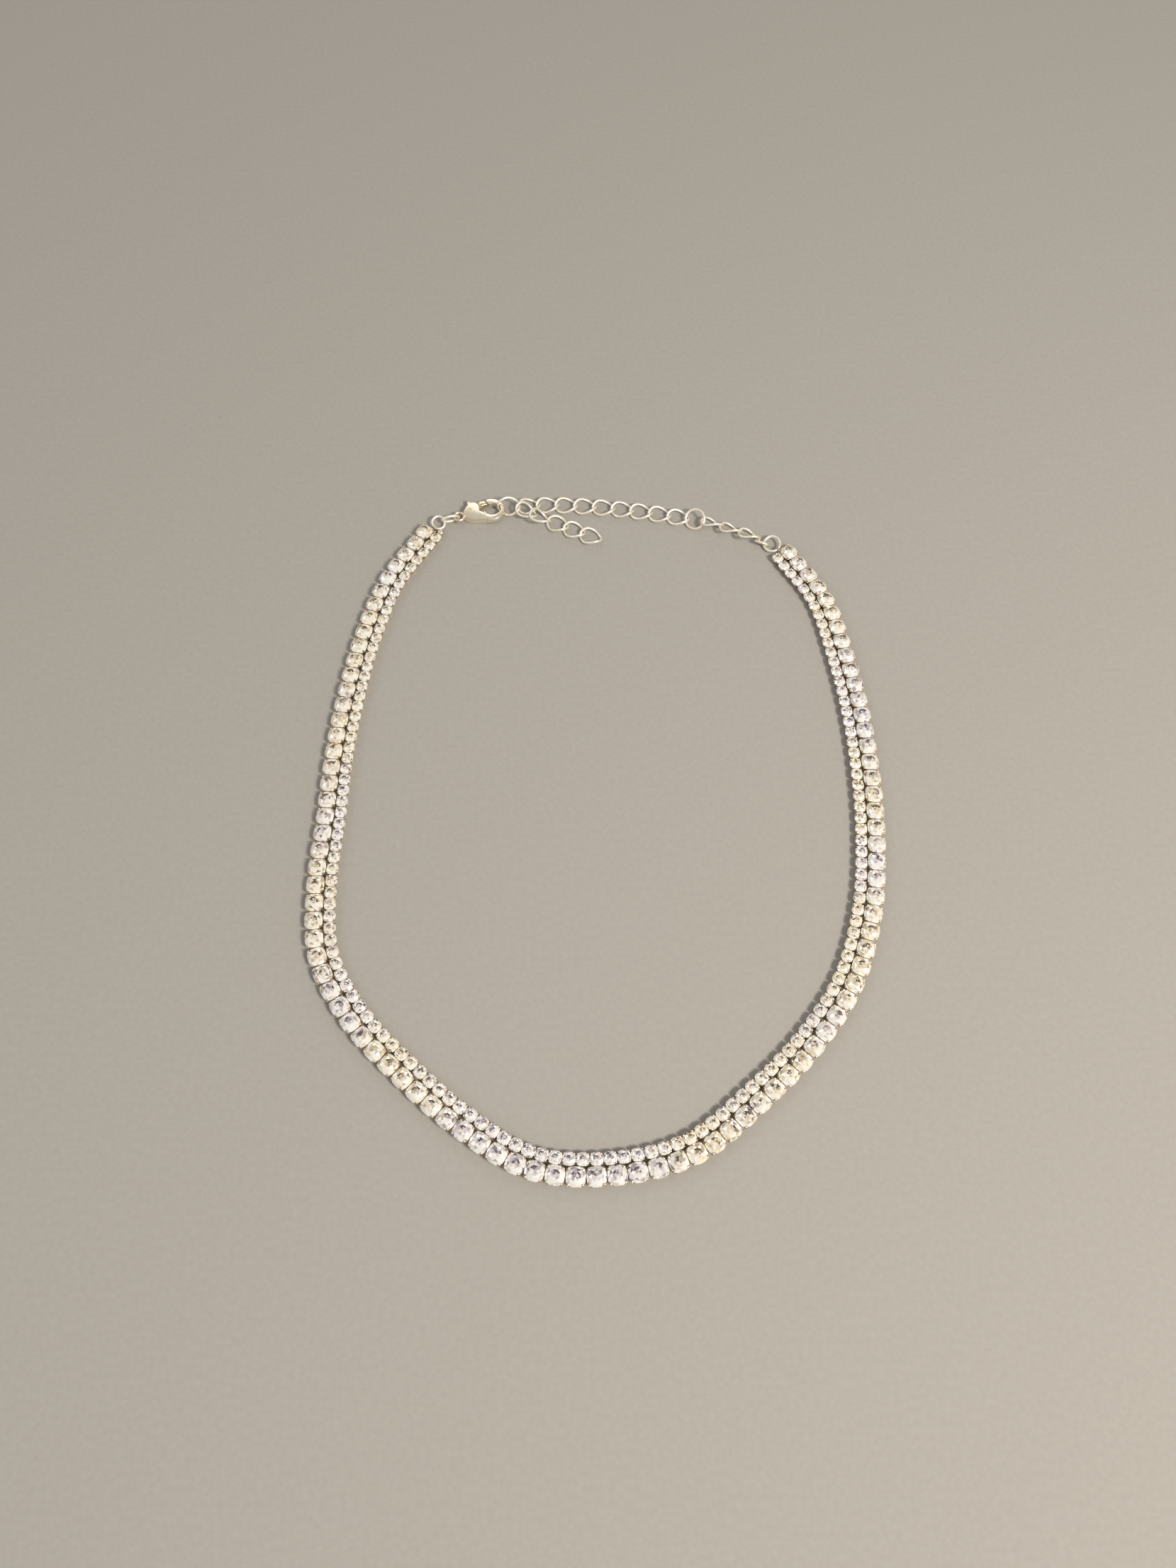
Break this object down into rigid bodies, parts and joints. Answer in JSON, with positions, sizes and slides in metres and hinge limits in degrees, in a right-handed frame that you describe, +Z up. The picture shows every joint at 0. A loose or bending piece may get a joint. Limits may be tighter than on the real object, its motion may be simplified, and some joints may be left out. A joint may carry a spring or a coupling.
{
  "type": "choker necklace",
  "caption": "Choker necklace with side-by-side rows of cut stones in claw settings, closed by a lobster clasp on an extender chain.",
  "frame": {"origin": "under the middle of the whole necklace, on the surface it lies on", "axes": "+Z up, the way the stones face; +Y towards the clasp and chain at the back of the neck; +X to the right as seen from above with the clasp at the far side"},
  "size_m": [0.1254, 0.166, 0.0037],
  "materials": {
    "stones_in_settings": "clear cut stones with foiled backs in bright silver-coloured claw settings",
    "silver": "bright polished silver colour",
    "lever_silver": "bright polished silver colour, slightly warmer"
  },
  "bodies": {
    "necklace": {"large_stone_row": "stones_in_settings", "small_stone_row": "stones_in_settings", "clasp_ring": "silver", "clasp_link": "silver", "chain_link_1": "silver", "chain_link_2": "silver", "chain_link_3": "silver", "chain_link_4": "silver", "chain_link_5": "silver", "chain_link_6": "silver", "chain_link_7": "silver", "chain_link_8": "silver", "chain_link_9": "silver", "chain_link_10": "silver", "middle_ring": "silver", "leaning_link_1": "silver", "leaning_link_2": "silver", "leaning_link_3": "silver", "short_link": "silver", "end_ring": "silver", "tail_link_1": "silver", "tail_link_2": "silver", "tail_link_3": "silver", "tail_link_4": "silver", "tail_link_5": "silver", "clasp_body": "silver", "clasp_pin": "silver"},
    "lever": {"clasp_lever": "lever_silver"}
  },
  "joints": [
    {"name": "clasp_lever_hinge", "type": "hinge", "parent": "necklace", "child": "lever", "pos_m": [-0.03185, 0.07841, 0.00112], "axis": [0, 0, 1], "range_deg": [-24, 0], "stiffness_Nm_per_rad": 0.0005, "springref_deg": 17.19}
  ]
}
